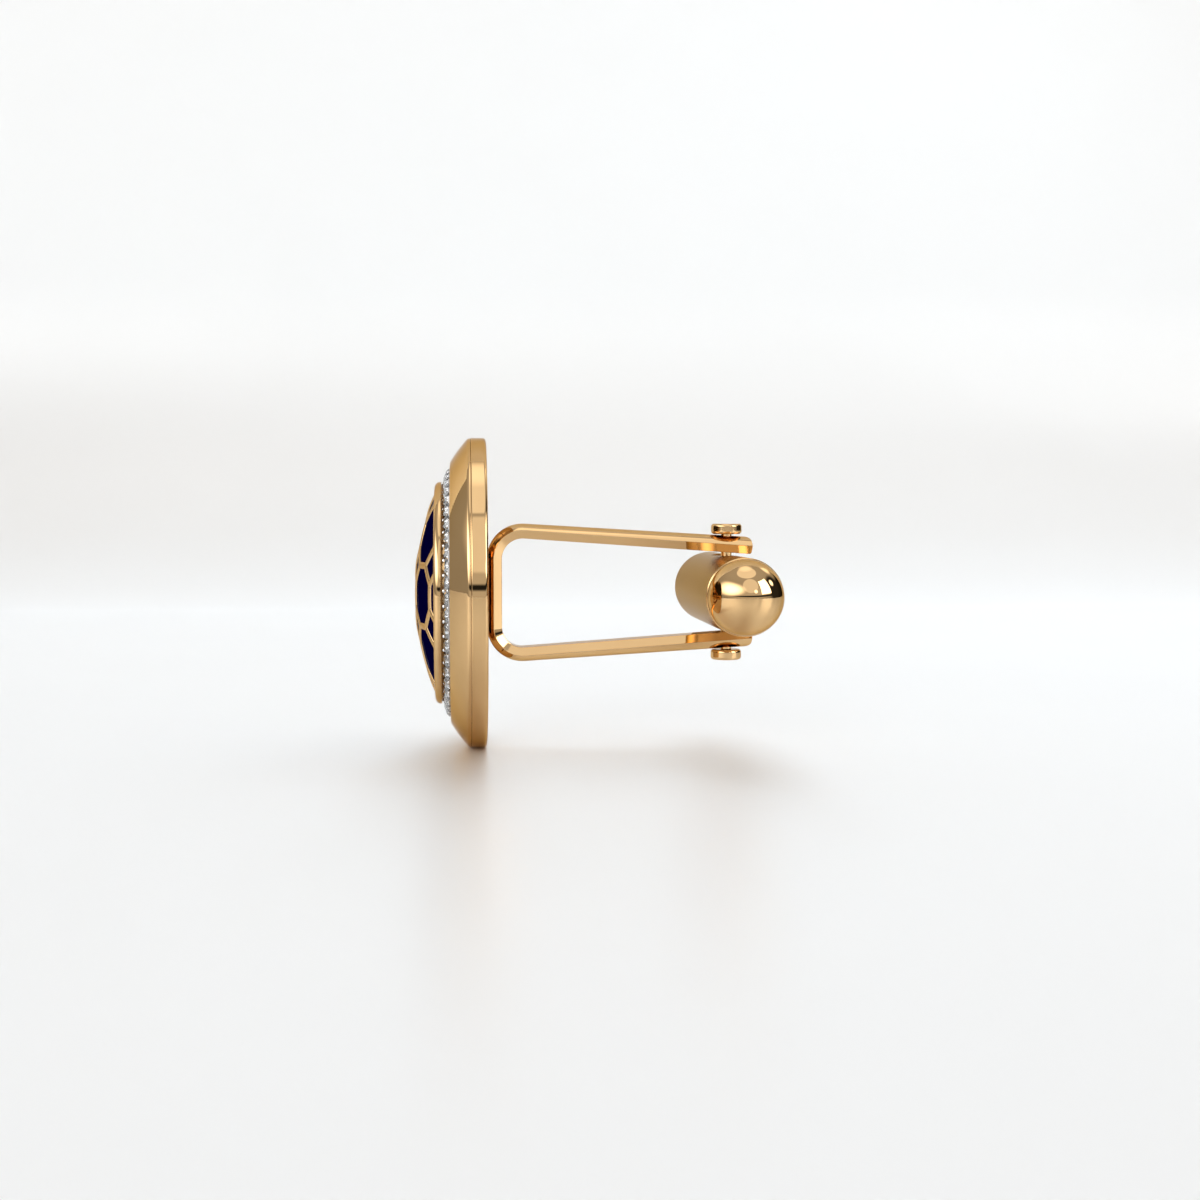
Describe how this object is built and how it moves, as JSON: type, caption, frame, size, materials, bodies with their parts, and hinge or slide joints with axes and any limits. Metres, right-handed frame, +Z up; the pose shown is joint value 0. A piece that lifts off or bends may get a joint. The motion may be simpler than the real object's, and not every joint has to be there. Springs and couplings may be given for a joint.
{
  "type": "cufflink",
  "caption": "Round cufflink: domed enamel face in a gold lattice, ring of small brilliants, wide bevelled bezel, U-shaped post and a swivelling round-ended toggle.",
  "frame": {"origin": "centre of the flat rear face that lies against the cuff", "axes": "+X out of the rear face along the post towards the toggle, +Z up in the plane of the post, Y along the toggle when it is closed"},
  "size_m": [0.0228, 0.02, 0.02],
  "materials": {
    "gold": "high polish, yellow to rose gold colour",
    "navy_enamel": "smooth opaque vitreous enamel",
    "brilliant": "faceted and polished, clear",
    "spring_steel": "bright drawn wire",
    "ball_steel": "polished bearing steel"
  },
  "bodies": {
    "face": {"back_plate": "gold", "front_bezel": "gold", "stone_ring": "gold", "brilliants": "brilliant", "dome_cup": "gold", "dome_lattice": "gold", "enamel_octagons": "navy_enamel", "enamel_edge_cells": "navy_enamel", "enamel_diamonds": "navy_enamel", "dome_rim": "gold", "post_frame": "gold", "swivel_pin": "gold", "lower_pin_head": "gold"},
    "toggle": {"toggle_barrel": "gold", "toggle_cap_near": "gold", "toggle_cap_far": "gold", "detent_ball_near": "ball_steel", "detent_ball_far": "ball_steel", "detent_spring_near": "spring_steel", "detent_spring_far": "spring_steel"}
  },
  "joints": [
    {"name": "toggle_swivel", "type": "hinge", "parent": "face", "child": "toggle", "pos_m": [0.01573, 0, 0], "axis": [0, 0, 1], "continuous": true}
  ]
}
